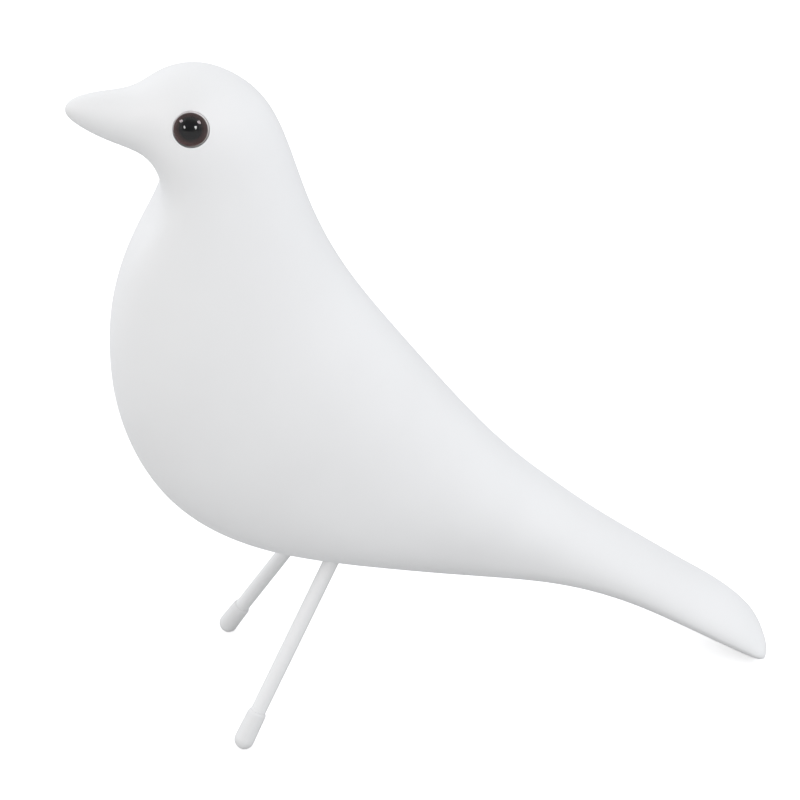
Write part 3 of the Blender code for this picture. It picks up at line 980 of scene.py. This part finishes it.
class DOVE_OT_add_stage(bpy.types.Operator):
    """Add the pale floor, the soft lights and the camera"""

    bl_idname = "dove.add_stage"
    bl_label = "Add Stage"

    def execute(self, context):
        scene = context.scene
        stage = scene.dove_stage
        self.add_floor(stage)
        self.add_air(scene, stage)
        self.add_dark_card(stage)
        self.add_lights(stage)
        self.add_camera(scene, stage)
        scene.view_settings.view_transform = "Standard"
        scene.view_settings.look = "None"
        return {"FINISHED"}

    def add_floor(self, stage):
        half = stage.floor_size / 2
        corners = [(-half, -half, 0), (half, -half, 0), (half, half, 0), (-half, half, 0)]
        mesh = bpy.data.meshes.new("studio_floor")
        mesh.from_pydata(corners, [], [range(4)])
        floor = new_object("studio_floor", mesh)
        material, tree, shader = new_material("pale_floor", stage.floor_colour)
        cloud = noise(tree, object_place(tree), 0.4)
        dimmer = tuple(0.99 * value for value in stage.floor_colour)
        feed(shader, {
            "Base Color": blend_between(tree, "RGBA", cloud, stage.floor_colour, dimmer),
            "Roughness": 0.9,
            "Specular IOR Level": 0.1,
            "Emission Color": (1, 1, 1, 1),
            "Emission Strength": stage.floor_glow,
        })
        # The floor sends less light up at the bird than its paleness in the picture would
        dull = add_node(tree, "ShaderNodeBsdfDiffuse", {
            "Color": (stage.floor_bounce, stage.floor_bounce, stage.floor_bounce, 1)})
        is_seen = tree.nodes.new("ShaderNodeLightPath").outputs["Is Camera Ray"]
        mixed = add_node(tree, "ShaderNodeMixShader", {
            0: is_seen, 1: dull.outputs[0], 2: shader.outputs[0]})
        feed(tree.nodes["Material Output"], {"Surface": mixed.outputs[0]})
        mesh.materials.append(material)

    def add_air(self, scene, stage):
        """Even white air, which the camera sees as full white."""
        world = bpy.data.worlds.new("studio_air")
        scene.world = world
        world.use_nodes = True
        tree = world.node_tree
        is_seen = tree.nodes.new("ShaderNodeLightPath").outputs["Is Camera Ray"]
        feed(tree.nodes["Background"], {
            "Color": (1, 1, 1, 1),
            "Strength": rescaled(tree, is_seen, 0.0, 1.0, stage.sky_strength, 1.0),
        })

    def add_dark_card(self, stage):
        """A round dark card behind the camera, with a soft edge, that only gloss reflects."""
        right, up, back = camera_axes(stage)
        middle = Vector(HEAD) + back * CARD_DISTANCE - up * CARD_DROP
        turns = [2 * math.pi * i / CARD_CORNERS for i in range(CARD_CORNERS)]
        rim = [middle + (right * math.cos(turn) + up * math.sin(turn)) * stage.card_size / 2
               for turn in turns]
        mesh = bpy.data.meshes.new("dark_card")
        mesh.from_pydata(rim, [], [range(CARD_CORNERS)])
        card = new_object("dark_card", mesh)
        material, tree, shader = new_material("dark_card", (0.02, 0.02, 0.02))
        place = object_place(tree)
        weave = noise(tree, place, 0.01)
        aside = vector_arithmetic(tree, "SUBTRACT", place, tuple(middle))
        reach = vector_arithmetic(tree, "LENGTH", aside).node.outputs["Value"]
        thinned = add_node(tree, "ShaderNodeMapRange", {
            "Value": reach, "From Min": stage.card_size * 0.25, "From Max": stage.card_size * 0.5,
            "To Min": 1.0, "To Max": 0.0}, interpolation_type="SMOOTHSTEP").outputs[0]
        feed(shader, {
            "Base Color": blend_between(tree, "RGBA", weave, (0.20, 0.21, 0.21),
                                        (0.28, 0.30, 0.29)),
            "Roughness": 1.0,
            "Specular IOR Level": 0.0,
            "Alpha": thinned,
        })
        mesh.materials.append(material)
        for ray in ("camera", "diffuse", "transmission", "shadow"):
            setattr(card, f"visible_{ray}", False)

    def add_lights(self, stage):
        """Large soft lights for the white coat, and small ones that only show as glints."""
        white, cool, pink = (1, 1, 1), (0.95, 0.99, 1.06), (1.0, 0.88, 0.91)
        for name, direction, power, colour in (
                ("camera_light", (0.858, -0.120, 0.5), stage.camera_power, white),
                ("beak_light", (0, -0.966, 0.259), stage.beak_power, white),
                ("front_light", (-0.663, -0.557, 0.5), stage.front_power, cool),
                ("tail_light", (0, 0.940, 0.342), stage.tail_power, cool),
                ("back_light", (0.492, 0.413, 0.766), stage.back_power, cool)):
            soft = add_area_light(name, Vector(SOFT_LIGHT_TARGET), direction,
                                  SOFT_LIGHT_DISTANCE, SOFT_LIGHT_SIZE, power, colour)
            soft.visible_glossy = False
        right, up, back = camera_axes(stage)
        small, wide = (0.20, 0.32), (0.5, 0.36)
        bright, faint = stage.glint_power, stage.faint_glint_power
        for name, aim, size, power, colour in (
                ("glint_left", (-0.401, -0.336, 0.852), small, bright, white),
                ("glint_right", (0.332, -0.349, 0.876), small, bright * 1.2, white),
                ("faint_left", (-0.699, 0.248, 0.671), wide, faint, pink),
                ("faint_right", (0.649, 0.161, 0.744), wide, faint, pink)):
            direction = right * aim[0] + up * aim[1] + back * aim[2]
            glint = add_area_light(name, Vector(HEAD), direction, GLINT_DISTANCE, size, power,
                                   colour)
            glint.visible_diffuse = False

    def add_camera(self, scene, stage):
        right, up, back = camera_axes(stage)
        roll = stage.camera_roll
        level = Matrix((right * math.cos(roll) - up * math.sin(roll),
                        right * math.sin(roll) + up * math.cos(roll), back)).transposed()
        data = bpy.data.cameras.new("photo_camera")
        data.sensor_width = 36
        data.lens = stage.lens / MM
        data.clip_start = 0.01
        data.clip_end = 50
        camera = new_object("photo_camera", data)
        camera.matrix_world = (
            Matrix.Translation(Vector(stage.camera_target) + back * stage.camera_distance)
            @ level.to_4x4())
        scene.camera = camera


class DOVE_PT_panel(bpy.types.Panel):
    """The bird's settings and the steps that build it"""

    bl_label = "Dove Statue"
    bl_idname = "DOVE_PT_panel"
    bl_space_type = "VIEW_3D"
    bl_region_type = "UI"
    bl_category = "Dove"

    def draw(self, context):
        for operator, group in STEPS:
            box = self.layout.box()
            box.operator(operator)
            settings = getattr(context.scene, group)
            for name in settings.__annotations__:
                box.prop(settings, name)


STEPS = (
    ("dove.add_body", "dove_body"),
    ("dove.add_legs", "dove_legs"),
    ("dove.add_foot_caps", "dove_legs"),
    ("dove.add_eyes", "dove_eyes"),
    ("dove.add_stage", "dove_stage"),
)

SETTINGS = {
    "dove_body": DoveBodySettings,
    "dove_legs": DoveLegSettings,
    "dove_eyes": DoveEyeSettings,
    "dove_stage": DoveStageSettings,
}

CLASSES = (
    *SETTINGS.values(),
    DOVE_OT_add_body,
    DOVE_OT_add_legs,
    DOVE_OT_add_foot_caps,
    DOVE_OT_add_eyes,
    DOVE_OT_add_stage,
    DOVE_PT_panel,
)


def register():
    for item in CLASSES:
        bpy.utils.register_class(item)
    for name, settings in SETTINGS.items():
        setattr(bpy.types.Scene, name, PointerProperty(type=settings))


def unregister():
    for name in SETTINGS:
        delattr(bpy.types.Scene, name)
    for item in reversed(CLASSES):
        bpy.utils.unregister_class(item)


def main():
    register()
    bpy.ops.dove.add_body()
    bpy.ops.dove.add_legs()
    bpy.ops.dove.add_foot_caps()
    bpy.ops.dove.add_eyes()
    bpy.ops.dove.add_stage()


if __name__ == "__main__":
    main()
